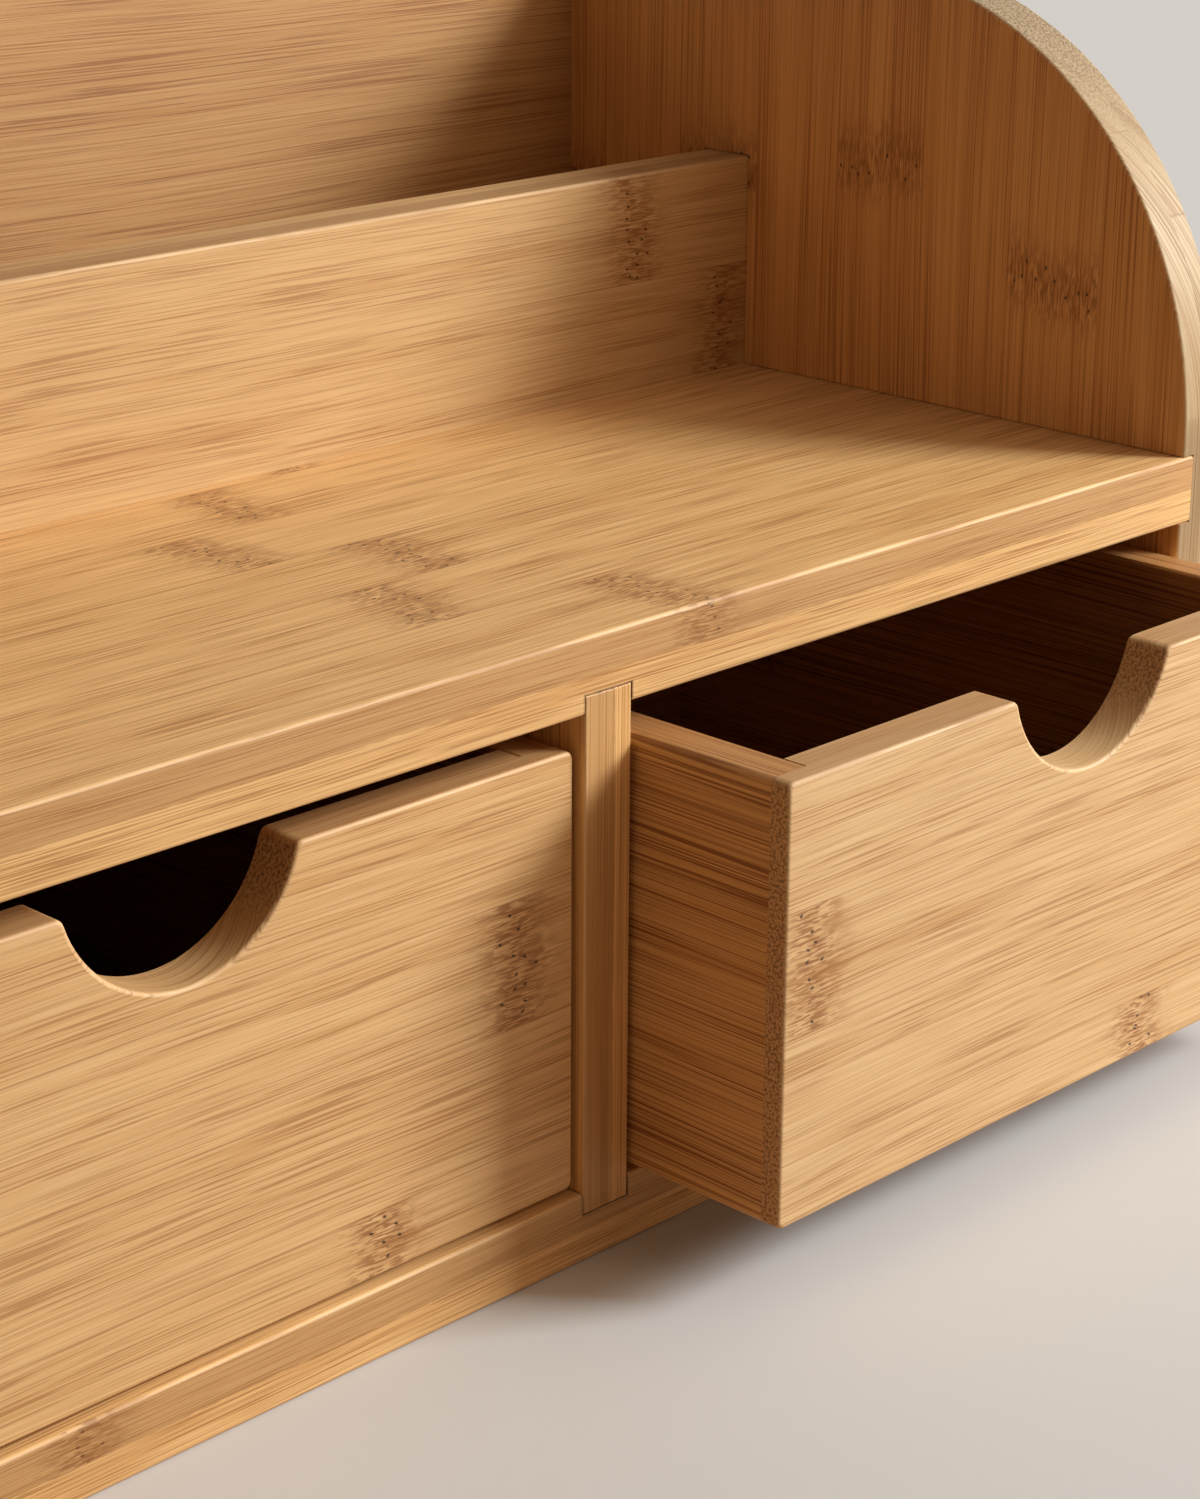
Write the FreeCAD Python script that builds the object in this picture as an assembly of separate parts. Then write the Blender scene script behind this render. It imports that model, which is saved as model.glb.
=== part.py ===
import FreeCAD, Part
import math
import os

# Bamboo desk organiser: an open shelf with a letter slot, over two drawers side by side.
# Millimetres. X runs along the width, -Y is the front, +Z is up.
# The origin is the middle of the carcass's footprint, on the surface that it stands on.

Vector = FreeCAD.Vector

# Carcass, outside
carcass_width = 320.0
carcass_depth = 168.0
side_height = 186.5
side_thickness = 11.0
front_curve_radius = 79.0

# Boards between the sides
bottom_thickness = 12.0
bay_height = 80.5
shelf_thickness = 12.5
partition_thickness = 10.0
back_thickness = 11.0
divider_thickness = 11.5
divider_height = 42.0
letter_slot_depth = 38.0

# Housings: shallow trenches that a board's end sits in
housing_depth = 3.0
partition_into_shelf = 3.1
partition_into_bottom = 3.7
housing_fit = 0.15

# Drawers in their bays
drawer_side_gap = 1.0
drawer_lift = 1.0
drawer_top_gap = 5.6
drawer_setback = 1.5
drawer_back_gap = 0.5
right_drawer_pull = 33.1

# Boards of a drawer
drawer_front_thickness = 8.6
drawer_side_thickness = 8.0
drawer_back_thickness = 8.0
front_lip = 3.7
rear_rabbet_depth = 4.0
panel_thickness = 3.0
panel_groove_depth = 3.5
panel_rise = 4.0
panel_groove_fit = 0.1
panel_end_slack = 0.4

# Finger notch in a drawer's front: a round cut whose centre lies above the board, and a little
# further out than the drawer's middle
notch_radius = 21.0
notch_centre_rise = 5.0
notch_centre_shift = 4.3
notch_corner_radius = 1.6

# Edges: rounded where hands meet them, and broken with a small flat inside the drawers
board_arris = 0.7
partition_arris = 0.35
drawer_corner_radius = 1.4
drawer_face_arris = 0.7
drawer_inner_break = 0.4

# Blind dowels
dowel_diameter = 6.0
dowel_length = 20.0
dowel_seat = 5.0
divider_dowel_seat = 7.0
dowel_bore_slack = 1.0
end_dowel_inset = 32.0
divider_dowel_inset = 48.0
end_dowel_count = 2
divider_dowel_count = 2

# How far a cutting shape runs past the face that it opens
overrun = 1.0

# Planes that several pieces share
front_y = -carcass_depth / 2
rear_y = carcass_depth / 2
back_face_y = rear_y - back_thickness
side_outer_x = carcass_width / 2
side_inner_x = side_outer_x - side_thickness
housing_x = side_inner_x + housing_depth
shelf_underside_z = bottom_thickness + bay_height
shelf_top_z = shelf_underside_z + shelf_thickness
divider_back_y = back_face_y - letter_slot_depth
divider_front_y = divider_back_y - divider_thickness
divider_top_z = shelf_top_z + divider_height
partition_side_x = partition_thickness / 2
bay_width = side_inner_x - partition_side_x
bay_middle_x = partition_side_x + bay_width / 2


def board(x_span, y_span, z_span):
    """A square-edged board between three pairs of planes."""
    size = [high - low for low, high in (x_span, y_span, z_span)]
    return Part.makeBox(*size, Vector(x_span[0], y_span[0], z_span[0]))


def edges_on(solid, lines):
    """Edges that lie on any of the given lines or outlines, such as {"y": front, "z": top}."""
    def lies_on(edge, line):
        return all(abs(getattr(vertex.Point, axis) - value) < 1e-4
                   for vertex in edge.Vertexes for axis, value in line.items())
    return [edge for edge in solid.Edges if any(lies_on(edge, line) for line in lines)]


def ease(solid, radius, *lines):
    return solid.makeFillet(radius, edges_on(solid, lines))


def break_edges(solid, width, *lines):
    return solid.makeChamfer(width, edges_on(solid, lines))


def cut_all(solid, cutters):
    for cutter in cutters:
        solid = solid.cut(cutter)
    return solid


def spread(low, high, count):
    """Evenly spaced places from low to high."""
    return [low + (high - low) * step / (count - 1) for step in range(count)]


# A row of dowels is a list of (foot, axis). The foot is the blind end that is seated in the first
# board, and the axis points from there into the second one.

def end_dowel_row(side, middle_z):
    """Dowels from a side panel into the end of a level board."""
    foot_x = side * (housing_x + dowel_seat)
    places = spread(front_y + end_dowel_inset, back_face_y - end_dowel_inset, end_dowel_count)
    return [(Vector(foot_x, y, middle_z), Vector(-side, 0, 0)) for y in places]


def divider_dowel_row():
    """Dowels from the shelf into the foot of the divider."""
    middle_y = (divider_front_y + divider_back_y) / 2
    foot_z = shelf_top_z - divider_dowel_seat
    reach = side_inner_x - divider_dowel_inset
    return [(Vector(x, middle_y, foot_z), Vector(0, 0, 1))
            for x in spread(-reach, reach, divider_dowel_count)]


def bores(row):
    depth = dowel_length + dowel_bore_slack
    return [Part.makeCylinder(dowel_diameter / 2, depth, foot, axis) for foot, axis in row]


def dowels(row):
    """The dowels of a row, as separate solids of one shape."""
    return Part.makeCompound([Part.makeCylinder(dowel_diameter / 2, dowel_length, foot, axis)
                              for foot, axis in row])


bottom_middle_z = bottom_thickness / 2
shelf_middle_z = (shelf_underside_z + shelf_top_z) / 2
bottom_end_rows = {side: end_dowel_row(side, bottom_middle_z) for side in (-1, 1)}
shelf_end_rows = {side: end_dowel_row(side, shelf_middle_z) for side in (-1, 1)}
divider_row = divider_dowel_row()


# Carcass

def side_blank():
    """Right side before its housings: a board whose upper front corner is a quarter round."""
    curve_start_z = side_height - front_curve_radius
    curve_end_y = front_y + front_curve_radius
    along_45 = front_curve_radius * math.sqrt(0.5)

    def at(y, z):
        return Vector(side_inner_x, y, z)

    curve = Part.Arc(at(front_y, curve_start_z),
                     at(curve_end_y - along_45, curve_start_z + along_45),
                     at(curve_end_y, side_height))
    outline = Part.Wire([
        Part.makeLine(at(front_y, 0), at(front_y, curve_start_z)),
        curve.toShape(),
        Part.makeLine(at(curve_end_y, side_height), at(rear_y, side_height)),
        Part.makeLine(at(rear_y, side_height), at(rear_y, 0)),
        Part.makeLine(at(rear_y, 0), at(front_y, 0)),
    ])
    blank = Part.Face(outline).extrude(Vector(side_thickness, 0, 0))
    return ease(blank, board_arris, {"x": side_inner_x}, {"x": side_outer_x})


def side_panel(side):
    """Side panel with its housings for the bottom, shelf, divider and back."""
    trench = (side_inner_x - overrun, housing_x)
    from_front = (front_y - overrun, back_face_y)
    panel = cut_all(side_blank(), [
        board(trench, from_front, (-overrun, bottom_thickness + housing_fit)),
        board(trench, from_front, (shelf_underside_z, shelf_top_z + housing_fit)),
        board(trench, (divider_front_y - housing_fit, divider_back_y + housing_fit),
              (shelf_top_z, divider_top_z + housing_fit)),
        board(trench, (back_face_y, rear_y + overrun), (-overrun, side_height + overrun)),
    ])
    if side < 0:
        panel = panel.mirror(Vector(0, 0, 0), Vector(1, 0, 0))
    return cut_all(panel, bores(bottom_end_rows[side]) + bores(shelf_end_rows[side]))


def level_board(low_z, high_z, partition_trench_z, rows):
    """Shelf or bottom board: housed in both sides, and trenched for the partition."""
    solid = board((-housing_x, housing_x), (front_y, back_face_y), (low_z, high_z))
    solid = ease(solid, board_arris, {"y": front_y, "z": low_z}, {"y": front_y, "z": high_z})
    reach = partition_side_x + housing_fit
    trench = board((-reach, reach), (front_y - overrun, back_face_y + overrun),
                   partition_trench_z)
    return cut_all(solid, [trench] + [bore for row in rows for bore in bores(row)])


def bottom_board():
    trench_z = (bottom_thickness - partition_into_bottom, bottom_thickness + overrun)
    rows = [bottom_end_rows[-1], bottom_end_rows[1]]
    return level_board(0, bottom_thickness, trench_z, rows)


def shelf_board():
    trench_z = (shelf_underside_z - overrun,
                shelf_underside_z + partition_into_shelf + housing_fit)
    rows = [shelf_end_rows[-1], shelf_end_rows[1], divider_row]
    return level_board(shelf_underside_z, shelf_top_z, trench_z, rows)


def drawer_partition():
    low_z = bottom_thickness - partition_into_bottom
    high_z = shelf_underside_z + partition_into_shelf
    solid = board((-partition_side_x, partition_side_x), (front_y, back_face_y), (low_z, high_z))
    return ease(solid, partition_arris, {"y": front_y})


def letter_divider():
    solid = board((-housing_x, housing_x), (divider_front_y, divider_back_y),
                  (shelf_top_z, divider_top_z))
    solid = ease(solid, board_arris,
                 {"y": divider_front_y, "z": divider_top_z},
                 {"y": divider_back_y, "z": divider_top_z})
    return cut_all(solid, bores(divider_row))


def back_panel():
    reach = housing_x - housing_fit
    solid = board((-reach, reach), (back_face_y, rear_y), (0, side_height))
    return ease(solid, board_arris,
                {"y": back_face_y, "z": side_height},
                {"y": rear_y, "z": side_height})


# Drawers. Each is modelled closed, about its own middle plane, and then moved to its place.

drawer_side_outer_x = bay_width / 2 - drawer_side_gap
drawer_side_inner_x = drawer_side_outer_x - drawer_side_thickness
drawer_face_y = front_y + drawer_setback
drawer_lip_y = drawer_face_y + front_lip
drawer_front_inner_y = drawer_face_y + drawer_front_thickness
drawer_rear_y = back_face_y - drawer_back_gap
drawer_back_inner_y = drawer_rear_y - drawer_back_thickness
drawer_floor_z = bottom_thickness + drawer_lift
drawer_top_z = shelf_underside_z - drawer_top_gap
panel_floor_z = drawer_floor_z + panel_rise
groove_z = (panel_floor_z, panel_floor_z + panel_thickness + panel_groove_fit)


def face_arc(x, z, radius, start, end):
    """Arc about (x, z) in the plane of the drawer's face, between two angles in degrees."""
    def at(angle):
        turn = math.radians(angle)
        return Vector(x + radius * math.cos(turn), drawer_face_y, z + radius * math.sin(turn))
    return Part.Arc(at(start), at((start + end) / 2), at(end))


def notched_outline(outward):
    """Outline of a drawer's face: rounded corners, and the finger notch in the top edge."""
    notch_x = outward * notch_centre_shift
    corner = drawer_corner_radius
    corner_x = drawer_side_outer_x - corner
    low_z = drawer_floor_z + corner
    high_z = drawer_top_z - corner
    # A small round joins the top edge to the notch. It touches both, which sets its centre.
    rise = notch_centre_rise + notch_corner_radius
    small_x = math.sqrt((notch_radius + notch_corner_radius) ** 2 - rise ** 2)
    small_z = drawer_top_z - notch_corner_radius
    slope = math.degrees(math.atan2(rise, small_x))
    arcs = [
        face_arc(-corner_x, low_z, corner, 180, 270),
        face_arc(corner_x, low_z, corner, 270, 360),
        face_arc(corner_x, high_z, corner, 0, 90),
        face_arc(notch_x + small_x, small_z, notch_corner_radius, 90, 180 - slope),
        face_arc(notch_x, drawer_top_z + notch_centre_rise, notch_radius, -slope, slope - 180),
        face_arc(notch_x - small_x, small_z, notch_corner_radius, slope, 90),
        face_arc(-corner_x, high_z, corner, 90, 180),
    ]
    edges = []
    for before, arc in zip([arcs[-1]] + arcs[:-1], arcs):
        if before.EndPoint.distanceToPoint(arc.StartPoint) > 1e-3:
            edges.append(Part.makeLine(before.EndPoint, arc.StartPoint))
        edges.append(arc.toShape())
    return Part.Wire(edges)


def drawer_front(outward):
    """Drawer's front: grooved for the bottom panel, with a step at each end for the side."""
    solid = Part.Face(notched_outline(outward)).extrude(Vector(0, drawer_front_thickness, 0))
    solid = ease(solid, drawer_face_arris, {"y": drawer_face_y})
    solid = break_edges(solid, drawer_inner_break, {"y": drawer_front_inner_y})
    past_inner_y = drawer_front_inner_y + overrun
    past_end_x = drawer_side_outer_x + overrun
    past_z = (drawer_floor_z - overrun, drawer_top_z + overrun)
    return cut_all(solid, [
        board((-past_end_x, past_end_x),
              (drawer_front_inner_y - panel_groove_depth, past_inner_y), groove_z),
        board((-past_end_x, -drawer_side_inner_x), (drawer_lip_y, past_inner_y), past_z),
        board((drawer_side_inner_x, past_end_x), (drawer_lip_y, past_inner_y), past_z),
    ])


def drawer_side(side):
    """Drawer's side: its end fills the front's step, and a rabbet behind takes the back."""
    solid = board((drawer_side_inner_x, drawer_side_outer_x), (drawer_lip_y, drawer_rear_y),
                  (drawer_floor_z, drawer_top_z))
    solid = ease(solid, drawer_corner_radius,
                 {"x": drawer_side_outer_x, "z": drawer_floor_z},
                 {"x": drawer_side_outer_x, "z": drawer_top_z})
    solid = break_edges(solid, drawer_inner_break,
                        {"x": drawer_side_inner_x, "z": drawer_floor_z},
                        {"x": drawer_side_inner_x, "z": drawer_top_z})
    inner_x = drawer_side_inner_x - overrun
    solid = cut_all(solid, [
        board((inner_x, drawer_side_inner_x + panel_groove_depth),
              (drawer_lip_y - overrun, drawer_rear_y + overrun), groove_z),
        board((inner_x, drawer_side_inner_x + rear_rabbet_depth),
              (drawer_back_inner_y, drawer_rear_y + overrun),
              (drawer_floor_z - overrun, drawer_top_z + overrun)),
    ])
    if side < 0:
        solid = solid.mirror(Vector(0, 0, 0), Vector(1, 0, 0))
    return solid


def drawer_back():
    reach = drawer_side_inner_x + rear_rabbet_depth
    solid = board((-reach, reach), (drawer_back_inner_y, drawer_rear_y),
                  (drawer_floor_z, drawer_top_z))
    solid = break_edges(solid, drawer_inner_break,
                        {"y": drawer_back_inner_y, "z": drawer_top_z},
                        {"y": drawer_rear_y, "z": drawer_top_z},
                        {"y": drawer_rear_y, "z": drawer_floor_z})
    groove = board((-reach - overrun, reach + overrun),
                   (drawer_back_inner_y - overrun, drawer_back_inner_y + panel_groove_depth),
                   groove_z)
    return solid.cut(groove)


def drawer_bottom():
    """Thin panel that floats in the grooves of the four boards around it."""
    into_groove = panel_groove_depth - panel_end_slack
    reach = drawer_side_inner_x + into_groove
    return board((-reach, reach),
                 (drawer_front_inner_y - into_groove, drawer_back_inner_y + into_groove),
                 (panel_floor_z, panel_floor_z + panel_thickness))


def drawer(name, outward, pull):
    """The five boards of a drawer, moved to its bay and pulled out by the given way.

    The drawer lies on the side of the partition that outward gives: -1 left, 1 right.
    """
    boards = {
        name + "_front": drawer_front(outward),
        name + "_side_left": drawer_side(-1),
        name + "_side_right": drawer_side(1),
        name + "_back": drawer_back(),
        name + "_bottom": drawer_bottom(),
    }
    for solid in boards.values():
        solid.translate(Vector(outward * bay_middle_x, -pull, 0))
    return boards


pieces = {
    "side_panel_left": side_panel(-1),
    "side_panel_right": side_panel(1),
    "bottom_board": bottom_board(),
    "shelf_board": shelf_board(),
    "drawer_partition": drawer_partition(),
    "letter_divider": letter_divider(),
    "back_panel": back_panel(),
    "bottom_board_dowels": dowels(bottom_end_rows[-1] + bottom_end_rows[1]),
    "shelf_dowels": dowels(shelf_end_rows[-1] + shelf_end_rows[1]),
    "divider_dowels": dowels(divider_row),
}
pieces.update(drawer("left_drawer", -1, 0))
pieces.update(drawer("right_drawer", 1, right_drawer_pull))

os.makedirs("parts", exist_ok=True)
for node, shape in pieces.items():
    shape.exportStep(f"parts/{node}.step")
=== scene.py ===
import math
import random

import bpy
from mathutils import Matrix, Vector


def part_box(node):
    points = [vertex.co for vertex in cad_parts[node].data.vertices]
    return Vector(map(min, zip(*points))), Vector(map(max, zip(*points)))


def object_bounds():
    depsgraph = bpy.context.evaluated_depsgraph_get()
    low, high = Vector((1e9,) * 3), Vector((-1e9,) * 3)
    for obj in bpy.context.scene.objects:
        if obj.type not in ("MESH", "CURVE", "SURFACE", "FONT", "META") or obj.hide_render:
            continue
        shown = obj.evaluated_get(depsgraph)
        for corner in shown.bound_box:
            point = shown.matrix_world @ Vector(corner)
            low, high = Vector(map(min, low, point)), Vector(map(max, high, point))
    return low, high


# Bamboo desk organiser: the finish of every board, the light, the floor and the camera.
# Scene units are metres. Sizes inside a finish are millimetres on the board.

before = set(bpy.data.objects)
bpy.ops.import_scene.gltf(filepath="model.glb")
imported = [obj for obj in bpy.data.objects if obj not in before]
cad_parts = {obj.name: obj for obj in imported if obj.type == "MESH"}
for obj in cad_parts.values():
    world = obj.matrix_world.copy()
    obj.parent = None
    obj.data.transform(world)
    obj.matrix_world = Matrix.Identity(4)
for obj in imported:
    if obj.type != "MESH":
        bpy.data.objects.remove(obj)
cad_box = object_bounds()

millimetre = 0.001

# Pressed bamboo, in millimetres. A fibre size is its length and its width.
strip_width = 21.0
ply_thickness = 6.25
band_fibre = (150.0, 4.4)
streak_fibre = (170.0, 0.85)
line_fibre = (26.0, 0.34)
ragged_fibre = (5.0, 0.8)
speck_size = 0.50

# Fibres swerve slowly, over this length and width, and by this much. Each strip shows another
# stretch of them, and a millimetre of depth counts as so many across them.
swerve_size = (110.0, 26.0)
swerve_reach = 2.2
strip_stagger = 900.0
depth_across = 1.31

# Knuckles repeat along a strip, lean and wander. Their marks lie within a reach of their line.
knuckle_period = 310.0
knuckle_lean = 7.0
knuckle_wander = 6.0
knuckle_reach = 11.0
cloud_puff = (4.0, 2.6)
dash_fibre = (3.6, 0.44)

# Pores stand in loose rows. A row has its place past the knuckle's line and its share of gaps.
pore_rows = ((0.0, 0.15), (3.0, 0.45))
pore_spacing = 2.4
pore_scatter = 3.6
pore_stretch = 0.7

# Fades: how far a mark is full, and where it has gone, in millimetres
pore_fade = (0.18, 0.34)
seam_fade = (0.02, 0.20)
lap_fade = (0.04, 0.26)
tone_fade = (0.10, 0.35)
rim_fade = (0.15, 0.85)
joint_fade = (0.05, 0.40)

# Lacquer: its roughness, what fibres, cut ends and pores add to it, its coat and its relief
satin = 0.52
fibre_dullness = 0.10
end_dullness = 0.24
pore_dullness = 0.15
coat_weight = 0.06
coat_roughness = 0.42
relief_strength = 0.25
relief_depth = 0.1 * millimetre

# Colours of the bamboo, linear
pale_straw = (0.840, 0.630, 0.372)
straw = (0.720, 0.490, 0.250)
honey = (0.610, 0.375, 0.165)
amber = (0.520, 0.270, 0.092)
fibre_brown = (0.280, 0.112, 0.028)
cloud_brown = (0.370, 0.155, 0.040)
pore_brown = (0.050, 0.020, 0.008)
end_brown = (0.560, 0.320, 0.150)
end_speck = (0.150, 0.072, 0.032)
joint_brown = (0.060, 0.026, 0.010)

# Colours of the stage, linear
black = (0.0, 0.0, 0.0)
floor_pale = (0.635, 0.668, 0.690)
floor_shade = (0.665, 0.695, 0.715)
floor_bounce = (0.44, 0.31, 0.20)
backdrop_pale = (0.655, 0.622, 0.578)
left_glow = (0.272, 0.136, 0.057)
overhead_glow = (0.025, 0.012, 0.006)
back_glow = (0.26, 0.21, 0.165)

# The floor's width, and where it turns into the backdrop, in metres from the middle
floor_width = 12.0
floor_fade = (0.36, 0.85)

# The photograph's camera: angles in degrees, place in metres, lens and sensor in millimetres
camera_pitch = 19.431
camera_yaw = 45.622
camera_roll = 0.346
camera_place = (-0.34188, -0.41672, 0.25420)
lens_length = 79.5
sensor_width = 36


class Wire:
    """A value on its way through a finish. Arithmetic on it adds Math nodes."""

    def __init__(self, finish, socket):
        self.finish = finish
        self.socket = socket

    def __add__(self, other):
        return self.finish.math("ADD", self, other)

    def __radd__(self, other):
        return self.finish.math("ADD", other, self)

    def __sub__(self, other):
        return self.finish.math("SUBTRACT", self, other)

    def __rsub__(self, other):
        return self.finish.math("SUBTRACT", other, self)

    def __mul__(self, other):
        return self.finish.math("MULTIPLY", self, other)

    def __rmul__(self, other):
        return self.finish.math("MULTIPLY", other, self)

    def __truediv__(self, other):
        return self.finish.math("DIVIDE", self, other)

    def __rtruediv__(self, other):
        return self.finish.math("DIVIDE", other, self)

    def __abs__(self):
        return self.finish.math("ABSOLUTE", self)

    def floor(self):
        return self.finish.math("FLOOR", self)

    def least(self, other):
        return self.finish.math("MINIMUM", self, other)

    def most(self, other):
        return self.finish.math("MAXIMUM", self, other)

    def wrap(self, low, high):
        return self.finish.math("WRAP", self, high, low)

    def step(self, low, high):
        """0 up to low, 1 from high on, and smooth between them."""
        return self.finish.node("MapRange", {"interpolation_type": "SMOOTHSTEP"},
                                {"Value": self, "From Min": low, "From Max": high})

    def fade(self, low, high):
        """1 up to low, 0 from high on, and smooth between them."""
        return 1 - self.step(low, high)

    def near(self, place, reach):
        """1 at the place, falling smoothly to 0 at the reach on both sides."""
        return abs(self - place).fade(0, reach)


class Finish:
    """The nodes of a material, or of the world, written as expressions."""

    def __init__(self, owner):
        owner.use_nodes = True
        self.owner = owner
        self.tree = owner.node_tree
        self.tree.nodes.clear()

    def node(self, kind, settings=None, sockets=None, output=0):
        """A node of that kind: first its settings, then the values or links of its sockets."""
        made = self.tree.nodes.new("ShaderNode" + kind)
        for name, value in (settings or {}).items():
            if name == "stops":
                self.set_stops(made.color_ramp, value)
            elif name == "ramp":
                made.color_ramp.interpolation = value
            else:
                setattr(made, name, value)
        for name, value in (sockets or {}).items():
            if isinstance(value, Wire):
                self.tree.links.new(value.socket, made.inputs[name])
            elif isinstance(value, tuple) and made.inputs[name].type == "RGBA":
                made.inputs[name].default_value = (*value, 1)
            else:
                made.inputs[name].default_value = value
        return Wire(self, made.outputs[output]) if made.outputs else made

    @staticmethod
    def set_stops(ramp, stops):
        """Writes (place, value) stops of a ramp that carries one number."""
        while len(ramp.elements) < len(stops):
            ramp.elements.new(1)
        for element, (place, value) in zip(ramp.elements, stops):
            element.position = place
            element.color = (value, value, value, 1)

    def math(self, operation, *values):
        return self.node("Math", {"operation": operation}, dict(enumerate(values)))

    def length(self, x, y):
        return self.math("SQRT", x * x + y * y)

    def mix(self, first, second, share):
        """The first colour turned into the second one by that share."""
        return self.node("Mix", {"data_type": "RGBA"},
                         {0: share, 6: first, 7: second}, output=2)

    def tinted(self, colour, tint):
        return self.node("Mix", {"data_type": "RGBA", "blend_type": "MULTIPLY"},
                         {0: 1.0, 6: colour, 7: tint}, output=2)

    def vector(self, x, y, z):
        return self.node("CombineXYZ", None, {"X": x, "Y": y, "Z": z})

    def parts(self, vector, names="XYZ"):
        return [self.node("SeparateXYZ", None, {"Vector": vector}, output=name)
                for name in names]

    def noise(self, x, y, detail=1.0):
        """Flat noise, about 0.5, whose spots are as large as one step of x and y."""
        return self.node("TexNoise", {"noise_dimensions": "2D"},
                         {"Vector": self.vector(x, y, 0.0), "Scale": 1.0, "Detail": detail})

    def chances(self, place):
        """Three random values that belong to a place."""
        colour = self.node("TexWhiteNoise", None, {"Vector": place}, output="Color")
        return [self.node("SeparateColor", None, {"Color": colour}, output=name)
                for name in ("Red", "Green", "Blue")]

    def surface(self, **sockets):
        """The shader of the board, and the material's output."""
        named = {name.replace("_", " "): value for name, value in sockets.items()}
        shader = self.node("BsdfPrincipled", None, named)
        self.node("OutputMaterial", None, {"Surface": shader})


class Board:
    """Where a point lies in one board: along its grain, across its strips and below its face."""

    def __init__(self, finish, node, grain, strips_from, face):
        self.finish = finish
        self.grain = grain
        low, high = (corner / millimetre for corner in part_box(node))
        point = finish.node("TexCoord", output="Object")
        self.place = {axis: part / millimetre for axis, part in zip("xyz", finish.parts(point))}
        self.corners = dict(zip("xyz", zip(low, high)))
        self.along = self.place[grain] - sum(self.corners[grain]) / 2
        self.across = self.to_side(strips_from)
        self.depth = self.to_side(face)
        self.length = self.span(grain)
        self.width = self.span(strips_from[1])
        self.thickness = self.span(face[1])

    def span(self, axis):
        low, high = self.corners[axis]
        return high - low

    def to_side(self, side):
        """Distance to one of the six sides, such as "-y"."""
        low, high = self.corners[side[1]]
        return self.place[side[1]] - low if side[0] == "-" else high - self.place[side[1]]

    def end_grain(self):
        """1 on a face that is cut square across the grain, and 0 along it."""
        normal = self.finish.node("TexCoord", output="Normal")
        along_grain, = self.finish.parts(normal, self.grain.upper())
        return abs(along_grain).step(0.55, 0.95)


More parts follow.
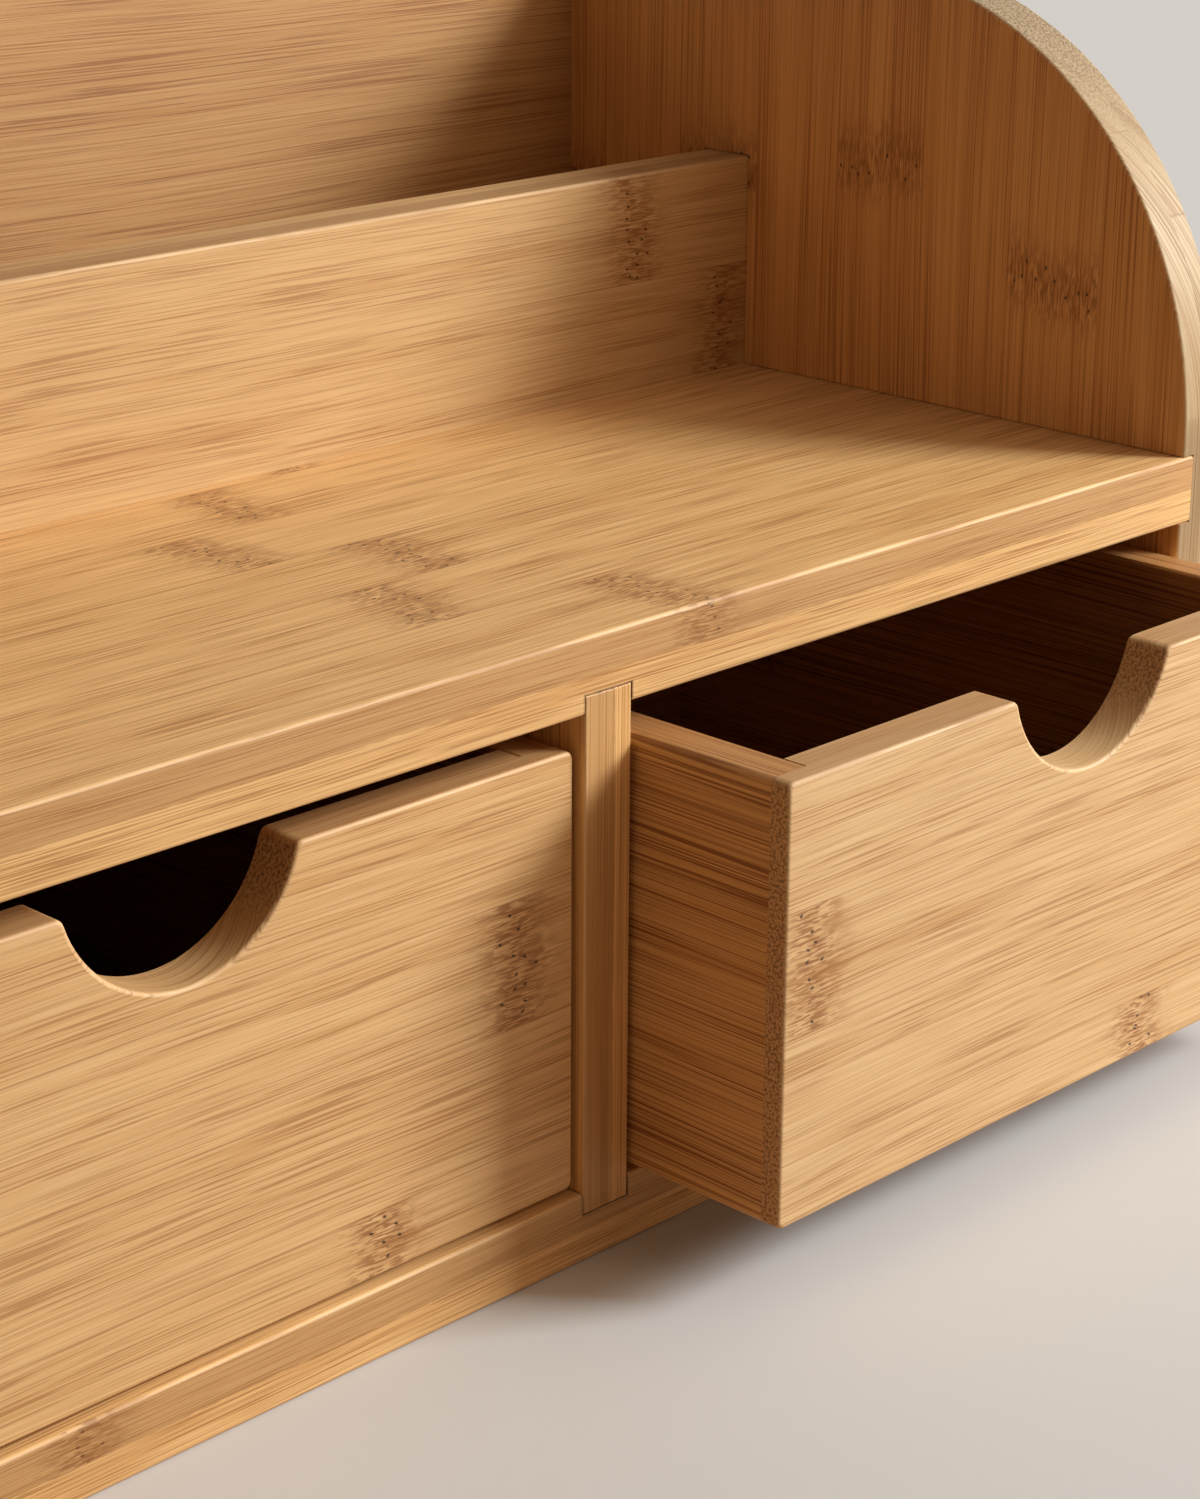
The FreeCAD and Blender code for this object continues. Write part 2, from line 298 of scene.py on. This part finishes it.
class Bamboo:
    """Pressed bamboo of one board: strips side by side, long fibres and a knuckle in each strip."""

    def __init__(self, node, grain, strips_from, face, seed, seen, plies, stretch):
        self.finish = Finish(bpy.data.materials.new(node + "_bamboo"))
        self.board = Board(self.finish, node, grain, strips_from, face)
        self.seed = seed
        board, finish = self.board, self.finish

        # Which strip of which ply the point is in
        self.ply = (board.depth / ply_thickness).floor() if plies else board.depth * 0
        shifted = (board.across + self.ply * (strip_width / 2)) / strip_width
        strip = shifted.floor()
        self.within = shifted - strip
        self.tone, lean, self.shift = finish.chances(finish.vector(strip, self.ply, seed))

        # How far it is from that strip's knuckle, whose line wanders a little
        wander = finish.noise(board.across / 5, self.shift * 40, 1)
        from_knuckle = (board.along - self.listed_knuckle(strip, seen)
                        - self.ply * (0.5 * knuckle_period)
                        + (self.within - 0.5) * (lean - 0.5) * knuckle_lean
                        + (wander - 0.5) * knuckle_wander)
        self.from_knuckle = from_knuckle.wrap(-knuckle_period / 2, knuckle_period / 2)

        # Place along and across the fibres. The edge of a board shows them too, because the
        # depth below its face counts as a way across.
        length, width = swerve_size
        swerve = finish.noise(board.along / length, board.across / width, 0)
        self.across = (board.across + board.depth * depth_across
                       + (swerve - 0.5) * swerve_reach)
        self.own = (board.along + self.shift * strip_stagger) / stretch
        self.end = board.end_grain()
        self.ragged = self.grained(ragged_fibre)

    def listed_knuckle(self, strip, seen):
        """Place of a strip's knuckle along the grain: where it is seen, and else at random."""
        chance = random.Random(self.seed)
        count = math.ceil(self.board.width / strip_width) + 1
        places = [chance.uniform(-0.5, 0.5) for _ in range(count)]
        for number, place in seen.items():
            places[number] = place / knuckle_period
        stops = [(number / count, place + 0.5) for number, place in enumerate(places)]
        listed = self.finish.node("ValToRGB", {"ramp": "CONSTANT", "stops": stops},
                                  {0: (strip + 0.5) / count})
        share = self.finish.node("SeparateColor", None, {"Color": listed})
        return (share - 0.5) * knuckle_period

    def fibres(self, size, offset=0.0):
        """Noise in long fibres, staggered from strip to strip and stretched as the board asks."""
        length, width = size
        return self.finish.noise(self.own / length, self.across / width + offset, 1)

    def grained(self, size):
        """Noise in short marks that lie along the grain."""
        length, width = size
        return self.finish.noise(self.board.along / length, self.across / width, 1)

    def ground(self, contrast, tint):
        """Pale strips with amber bands, under fine light and dark fibres."""
        mix = self.finish.mix
        band = self.fibres(band_fibre, 57.0)
        streak = self.fibres(streak_fibre, 31.0)
        line = self.fibres(line_fibre)
        self.dark_line = line.step(0.54, 0.64) * (0.35 + 0.65 * band.step(0.30, 0.62))
        colour = mix(straw, honey, self.tone * 0.24 + band.step(0.35, 0.68) * 0.36 + 0.16)
        colour = mix(colour, amber, band.step(0.56, 0.74) * 0.28)
        colour = mix(colour, pale_straw, line.fade(0.34, 0.50) * (0.40 * contrast))
        colour = mix(colour, fibre_brown, streak.step(0.46, 0.66) * (0.12 * contrast))
        colour = mix(colour, fibre_brown, self.dark_line * (0.62 * contrast))
        return self.finish.tinted(colour, tint)

    def knuckle(self, colour):
        """A brown cloud, short dark dashes, and loose rows of round pores."""
        mix = self.finish.mix
        puffs = 0.15 + 0.95 * self.grained(cloud_puff).step(0.36, 0.62)
        cloud = self.from_knuckle.near(3.0, knuckle_reach) * puffs
        dashes = self.grained(dash_fibre).step(0.49, 0.55)
        dashes = dashes * self.from_knuckle.near(1.0, knuckle_reach)
        first_row, second_row = [self.pore_row(*row) for row in pore_rows]
        self.pores = first_row.most(second_row)
        colour = mix(colour, cloud_brown, cloud * 0.40)
        colour = mix(colour, fibre_brown, dashes * 0.82)
        return mix(colour, pore_brown, self.pores * 0.92)

    def pore_row(self, offset, missing):
        """Round pores in a loose row across the strip."""
        finish = self.finish
        cell = (self.across / pore_spacing).floor()
        place = finish.vector(cell, self.ply * 7 + self.seed, offset)
        first, second, third = finish.chances(place)
        along = (self.from_knuckle - offset - (first - 0.5) * pore_scatter) * pore_stretch
        aside = self.across - (cell + 0.5 + (second - 0.5) * 0.5) * pore_spacing
        present = third.step(missing, missing + 0.02)
        return finish.length(along, aside).fade(*pore_fade) * present

    def end_grain(self, colour):
        """Cut ends of the fibres: dark specks on a duller ground."""
        mix = self.finish.mix
        speck = self.finish.noise(self.board.across / speck_size, self.board.depth / speck_size)
        colour = mix(colour, end_brown, self.end * 0.78)
        colour = mix(colour, end_speck, self.end * speck.step(0.50, 0.58) * 0.70)
        return mix(colour, straw, self.end * speck.fade(0.34, 0.46) * 0.30)

    def glue_lines(self, colour, plies):
        """Thin lines between the strips, and a broken one between the plies."""
        mix = self.finish.mix
        seam = (strip_width * (0.5 - abs(self.within - 0.5))).fade(*seam_fade)
        colour = mix(colour, fibre_brown, seam * (1 - self.end) * 0.45)
        if not plies:
            return colour
        above = self.board.depth - self.ply * ply_thickness
        lap = above.fade(*lap_fade) * self.ply.step(0.4, 0.6)
        return mix(colour, fibre_brown, lap * self.ragged.step(0.30, 0.60) * 0.60)

    def paint_light_and_shade(self, colour, distance, tone):
        """Paints the surface that the distance is measured from in a tone that stands for its light
        and shade.
        """
        share = distance(self.board).fade(*tone_fade)
        return self.finish.mix(colour, self.finish.tinted(colour, tone), share)

    def wear_rim(self, colour, distance):
        """A ragged pale rim where hands have worn an arris."""
        rim = (distance(self.board) + (self.ragged - 0.5) * 0.6).fade(*rim_fade)
        return self.finish.mix(colour, pale_straw, rim * 0.22)

    def draw_joint(self, colour, distance):
        """A ragged dark line where one board is let into another."""
        line = (distance(self.board) + (self.ragged - 0.5) * 0.4).fade(*joint_fade)
        return self.finish.mix(colour, joint_brown, line * 0.50)

    def surface(self, colour):
        """Satin lacquer, duller on the fibres and the cut ends."""
        roughness = (satin + fibre_dullness * self.dark_line + end_dullness * self.end
                     + pore_dullness * self.pores)
        normal = self.finish.node("Bump", None, {"Strength": relief_strength,
                                                 "Distance": relief_depth,
                                                 "Height": 0 - self.dark_line})
        self.finish.surface(Base_Color=colour, Roughness=roughness, Normal=normal,
                            Coat_Weight=coat_weight, Coat_Roughness=coat_roughness)


def bamboo(node, grain, strips_from, face, seed, seen=None, plies=True, contrast=1.0,
           stretch=1.0, tint=(1.0, 1.0, 1.0), toned=(), worn=None, joint=None):
    """Dresses a board in bamboo.

    The grain is an axis. Strips are counted from one side, and plies from the face. Seen gives the
    place along the grain of each strip's knuckle that the photograph shows. Stretch makes the
    fibres longer. The tint is partly the board's own tone and partly painted light and shade on
    the whole board. Toned lists the distance to a surface and the tone painted there: painted
    shade inside the drawers and a painted sheen on the side panels' edges. Worn and joint give the
    distance to a worn rim and to a glued joint. Distances are in millimetres.
    """
    wood = Bamboo(node, grain, strips_from, face, seed, seen or {}, plies, stretch)
    colour = wood.end_grain(wood.knuckle(wood.ground(contrast, tint)))
    colour = wood.glue_lines(colour, plies)
    for distance, tone in toned:
        colour = wood.paint_light_and_shade(colour, distance, tone)
    if worn:
        colour = wood.wear_rim(colour, worn)
    if joint:
        colour = wood.draw_joint(colour, joint)
    wood.surface(colour)
    dress(node, wood.finish)


def dress(node, finish):
    """Puts the finish on the board."""
    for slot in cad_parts[node].material_slots:
        slot.material = finish.owner


# Rims and joints, as distances in millimetres

side_curve_radius = 79.0
notch_radius = 21.0
notch_rise = 5.0
notch_shift = 4.3

# The partition is let into the level boards, in trenches that are a little wider and higher.
# Its ends are housed from somewhere between these two distances on. Past no_line a line is gone.
housing_fit = 0.15
partition_low, partition_high = (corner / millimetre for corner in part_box("drawer_partition"))
partition_half = partition_high[0] + housing_fit
partition_top = partition_high[2] + housing_fit
partition_foot = partition_low[2]
housed_length = (3.8, 3.3)
no_line = 5.0


def to_faces(board):
    return board.thickness / 2 - abs(board.depth - board.thickness / 2)


def to_inside(board):
    return board.thickness - board.depth


def arrises(*pairs):
    """Distance to the nearest of some arrises, each the two sides that meet there."""
    def distance(board):
        each = [board.to_side(first).most(board.to_side(second)) for first, second in pairs]
        nearest = each[0]
        for other in each[1:]:
            nearest = nearest.least(other)
        return nearest
    return distance


def side_outline(board):
    """Distance to the outline of a side panel, with its quarter round."""
    (front, rear), (floor, top) = board.corners["y"], board.corners["z"]
    inwards = (front + side_curve_radius - board.place["y"]).most(0)
    upwards = (board.place["z"] - (top - side_curve_radius)).most(0)
    outline = side_curve_radius - board.finish.length(inwards, upwards)
    return outline.least(rear - board.place["y"]).least(board.place["z"] - floor)


def side_rim(board):
    return side_outline(board).most(to_faces(board))


def front_rim(outward):
    """Distance to the rim of a drawer's front: its outline with the finger notch, and a face."""
    def distance(board):
        along = board.along - outward * notch_shift
        up = board.place["z"] - (board.corners["z"][1] + notch_rise)
        to_notch = board.finish.length(along, up) - notch_radius
        outline = (board.length / 2 - abs(board.along)).least(to_notch)
        outline = outline.least(board.width / 2 - abs(board.across - board.width / 2))
        return outline.most(to_faces(board))
    return distance


def partition_housing(board):
    """Distance from a level board's front to the partition that is let into it."""
    aside = abs(board.place["x"]) - partition_half
    if board.corners["z"][0] > 0:
        return aside.most(board.place["z"] - partition_top)
    return aside.most(partition_foot - board.place["z"])


def partition_ends(board):
    """Distance from a point of the partition to the outline of its housed ends."""
    aside = partition_half - abs(board.place["x"])
    middle = (partition_top + partition_foot) / 2
    reach = (partition_top - partition_foot) / 2
    above = abs(board.place["z"] - middle)
    free = above.fade(*(reach - length for length in housed_length))
    return aside.least(reach - above) + free * no_line


# Carcass

level_arrises = arrises(("-y", "+z"), ("-y", "-z"))
top_arrises = arrises(("-y", "+z"), ("+y", "+z"))
# Painted sheen: the side panels' outline edges are toned greyer and bluer, like the lamp's sheen on
# a lit front edge.
sheen_painted_edge = [(side_outline, (0.70, 0.94, 1.28))]


# Each carcass board's tint is partly its own tone and partly painted light and shade: boards in
# shade, such as the partition and the bottom board, are made lighter, and the back panel deep in
# shade is made darker.
def shelf_board():
    bamboo("shelf_board", "x", "-y", "+z", 11, {0: 18.6, 1: -14.3, 2: 4.6, 3: -17.5},
           tint=(1.13, 1.08, 0.92), worn=level_arrises, joint=partition_housing)


def bottom_board():
    bamboo("bottom_board", "x", "-y", "+z", 12, {0: -104.0},
           tint=(1.18, 1.15, 1.00), worn=level_arrises, joint=partition_housing)


def back_panel():
    bamboo("back_panel", "x", "+z", "-y", 13, {0: -80.0, 1: -95.0, 2: -112.0, 3: -90.0},
           stretch=1.5, contrast=0.85, tint=(0.72, 0.61, 0.46), worn=top_arrises)


def letter_divider():
    bamboo("letter_divider", "x", "+z", "-y", 14, {0: 115.4, 1: 141.0},
           contrast=0.7, tint=(0.89, 0.87, 0.79), worn=top_arrises)


def drawer_partition():
    bamboo("drawer_partition", "z", "-y", "-x", 15, {0: 96.0}, contrast=0.95, stretch=3.0,
           tint=(1.20, 1.14, 0.94), worn=arrises(("-y", "-x"), ("-y", "+x")),
           joint=partition_ends)


def side_panels():
    bamboo("side_panel_right", "z", "-y", "-x", 16, {1: 37.7, 3: 55.0}, stretch=2.5,
           tint=(0.95, 0.80, 0.64), toned=sheen_painted_edge, worn=side_rim)
    bamboo("side_panel_left", "z", "-y", "+x", 17, {1: 20.0}, stretch=2.5,
           tint=(0.96, 0.86, 0.74), toned=sheen_painted_edge, worn=side_rim)


def dowels():
    """Plain turned bamboo for the blind dowels."""
    finish = Finish(bpy.data.materials.new("dowel_bamboo"))
    point = finish.node("TexCoord", output="Object")
    x, y, z = [part / millimetre for part in finish.parts(point)]
    grain = finish.noise(x + z * 4, y * 3, 2)
    finish.surface(Base_Color=finish.mix(straw, honey, grain), Roughness=0.55 + 0.1 * grain)
    for node in ("bottom_board_dowels", "shelf_dowels", "divider_dowels"):
        dress(node, finish)


# Drawers

side_knuckles = {0: 12.0, 1: 44.0, 2: -8.0, 3: 30.0}
# Painted shade: the inner faces of the drawers' fronts and sides, and their backs and bottoms, are
# coloured darker, as the shade inside a drawer.
inside_painted_shade = [(to_inside, (0.60, 0.48, 0.40))]
inner_boards_painted_shade = (0.58, 0.44, 0.32)


def drawer_front(name, outward, seed, knuckles, tint):
    bamboo(name + "_front", "x", "+z", "-y", seed, knuckles, plies=False, contrast=0.8,
           tint=tint, toned=inside_painted_shade, worn=front_rim(outward))


# The drawer sides' tint is partly their own tone and partly painted shade.
def drawer_side(name, outer, seed):
    bamboo(name, "y", "+z", outer, seed, side_knuckles, plies=False, contrast=1.7, stretch=3.0,
           tint=(0.92, 0.78, 0.58), toned=inside_painted_shade,
           worn=arrises((outer, "+z"), (outer, "-z")))


def drawer_back(name, seed):
    bamboo(name + "_back", "x", "+z", "+y", seed, plies=False, tint=inner_boards_painted_shade)


def drawer_bottom(name, seed):
    bamboo(name + "_bottom", "x", "-y", "+z", seed, plies=False, tint=inner_boards_painted_shade)


def drawer(name, outward, seed, front_knuckles, front_tint):
    """The five boards of a drawer. Outward is 1 for the right drawer and -1 for the left one."""
    drawer_front(name, outward, seed, front_knuckles, front_tint)
    drawer_side(name + "_side_left", "-x", seed + 1)
    drawer_side(name + "_side_right", "+x", seed + 2)
    drawer_back(name, seed + 3)
    drawer_bottom(name, seed + 4)


# Stage

def seen_directly(finish):
    """1 for what the camera sees, directly or in a reflection."""
    camera_ray, glossy_ray, clear_ray = [
        finish.node("LightPath", output=name)
        for name in ("Is Camera Ray", "Is Glossy Ray", "Is Transmission Ray")]
    return camera_ray.most(glossy_ray).most(clear_ray)


def floor_and_backdrop():
    """A wide pale table top, which shows pale but throws only a little warm light back."""
    bpy.ops.mesh.primitive_plane_add(size=floor_width, location=(0, 0, 0))
    floor = bpy.context.object
    floor.name = "floor"
    finish = Finish(bpy.data.materials.new("pale_floor"))
    shown = seen_directly(finish)
    place = finish.node("TexCoord", output="Object")
    x, y = finish.parts(place, "XY")
    pale = finish.mix(floor_pale, floor_shade, finish.noise(x * 3, y * 3, 3))
    lit = finish.node("BsdfDiffuse", None, {"Color": finish.mix(floor_bounce, pale, shown)})
    far = finish.node("Emission", None, {"Color": finish.mix(black, backdrop_pale, shown)})
    away = finish.node("VectorMath", {"operation": "LENGTH"}, {0: place}, output="Value")
    shader = finish.node("MixShader", None, {0: away.step(*floor_fade), 1: lit, 2: far})
    finish.node("OutputMaterial", None, {"Surface": shader})
    floor.data.materials.append(finish.owner)


def surroundings():
    """Dim warm light from the left, the back and overhead, in front of a pale backdrop."""
    world = bpy.data.worlds.new("studio")
    bpy.context.scene.world = world
    finish = Finish(world)
    right, back, up = finish.parts(finish.node("TexCoord", output="Generated"))
    light = finish.mix(left_glow, black, right.step(-0.6, 0.1))
    light = finish.mix(light, back_glow, back.step(0.45, 0.85))
    light = finish.mix(light, overhead_glow, up.step(0.3, 0.75))
    colour = finish.mix(light, backdrop_pale, seen_directly(finish))
    shader = finish.node("Background", None, {"Color": colour, "Strength": 1.0})
    finish.node("OutputWorld", None, {"Surface": shader})


def soft_light(name, towards, distance, size, power, colour):
    """A square soft box that faces the middle of the object."""
    middle = (Vector(cad_box[0]) + Vector(cad_box[1])) / 2
    lamp = bpy.data.lights.new(name, "AREA")
    lamp.size = size
    lamp.energy = power
    lamp.color = colour
    box = bpy.data.objects.new(name, lamp)
    bpy.context.scene.collection.objects.link(box)
    direction = Vector(towards).normalized()
    box.location = middle + direction * distance
    box.rotation_mode = "QUATERNION"
    box.rotation_quaternion = direction.to_track_quat("Z", "Y")


def camera():
    """The photograph's view: over the left drawer, towards the far right corner."""
    pitch, yaw, roll = map(math.radians, (camera_pitch, camera_yaw, camera_roll))
    forward = Vector((math.sin(yaw) * math.cos(pitch), math.cos(yaw) * math.cos(pitch),
                      -math.sin(pitch)))
    right = Vector((math.cos(yaw), -math.sin(yaw), 0))
    up = right.cross(forward)
    turned_right = right * math.cos(roll) + up * math.sin(roll)
    turned_up = up * math.cos(roll) - right * math.sin(roll)
    lens = bpy.data.cameras.new("camera")
    lens.lens = lens_length
    lens.sensor_width = sensor_width
    seen_from = bpy.data.objects.new("camera", lens)
    bpy.context.scene.collection.objects.link(seen_from)
    turn = Matrix((turned_right, turned_up, -forward)).transposed().to_4x4()
    seen_from.matrix_world = Matrix.Translation(camera_place) @ turn
    bpy.context.scene.camera = seen_from


shelf_board()
bottom_board()
back_panel()
letter_divider()
drawer_partition()
side_panels()
# The fronts' tints are partly their own tone and partly painted light and shade.
drawer("left_drawer", -1, 30, {0: -62.0, 1: 57.4, 2: -66.0, 3: 29.0}, (1.07, 1.05, 0.98))
drawer("right_drawer", 1, 50, {0: 62.0, 1: -65.0, 2: 66.0, 3: 21.8}, (1.00, 1.03, 1.04))
dowels()
floor_and_backdrop()
surroundings()
soft_light("key_light", towards=(0.644, -0.629, 0.435), distance=1.34, size=0.41,
           power=17.9, colour=(0.98, 0.99, 0.97))
soft_light("wide_light", towards=(0.603, -0.580, 0.548), distance=1.10, size=1.37,
           power=8.6, colour=(1.0, 0.74, 0.56))
camera()

bpy.context.scene.view_settings.view_transform = "Standard"
